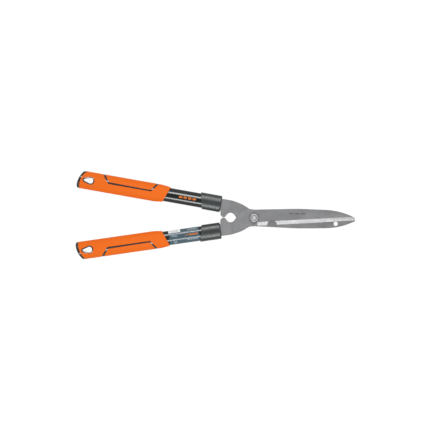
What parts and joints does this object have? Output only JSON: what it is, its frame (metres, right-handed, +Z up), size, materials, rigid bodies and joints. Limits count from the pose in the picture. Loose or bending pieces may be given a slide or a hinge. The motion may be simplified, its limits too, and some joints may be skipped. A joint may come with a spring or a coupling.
{
  "type": "hedge shears",
  "caption": "Manual hedge shears with long tapered blades on a bolted pivot, a branch notch, oval tube handles, ferrules and two-colour grips with hanging holes.",
  "frame": {"origin": "middle of the underside of the whole closed tool, lying flat with the nut upwards", "axes": "+X towards the blade tips, +Z up out of the nut side, +Y towards the back half's handle"},
  "size_m": [0.5826, 0.184, 0.0276],
  "materials": {
    "blade_steel": "fine blasted steel with ground bevels",
    "zinc": "bright zinc plate",
    "nylon": "matt nylon",
    "plug_plastic": "matt moulded plastic",
    "tube_paint": "gloss black powder coat",
    "ferrule_plastic": "satin moulded nylon",
    "label_film": "glossy printed film",
    "grip_black": "matt moulded plastic",
    "grip_orange": "soft matt moulded rubber-like plastic"
  },
  "bodies": {
    "front_half": {"front_blade": "blade_steel", "front_tang_plug": "plug_plastic", "front_tang_pins": "zinc", "front_tube": "tube_paint", "front_ferrule": "ferrule_plastic", "front_tube_label": "label_film", "front_grip_core": "grip_black", "front_grip_shell": "grip_orange", "front_grip_pad": "grip_orange"},
    "back_half": {"back_blade": "blade_steel", "pivot_bolt": "zinc", "pivot_washer": "zinc", "pivot_nut": "zinc", "nut_locking_ring": "nylon", "back_tang_plug": "plug_plastic", "back_tang_pins": "zinc", "back_tube": "tube_paint", "back_ferrule": "ferrule_plastic", "back_grip_core": "grip_black", "back_grip_shell": "grip_orange", "back_grip_pad": "grip_orange"}
  },
  "joints": [
    {"name": "blade_pivot", "type": "hinge", "parent": "front_half", "child": "back_half", "pos_m": [0.07977, 0, 0.012], "axis": [0, 0, -1], "range_deg": [0, 100]}
  ]
}
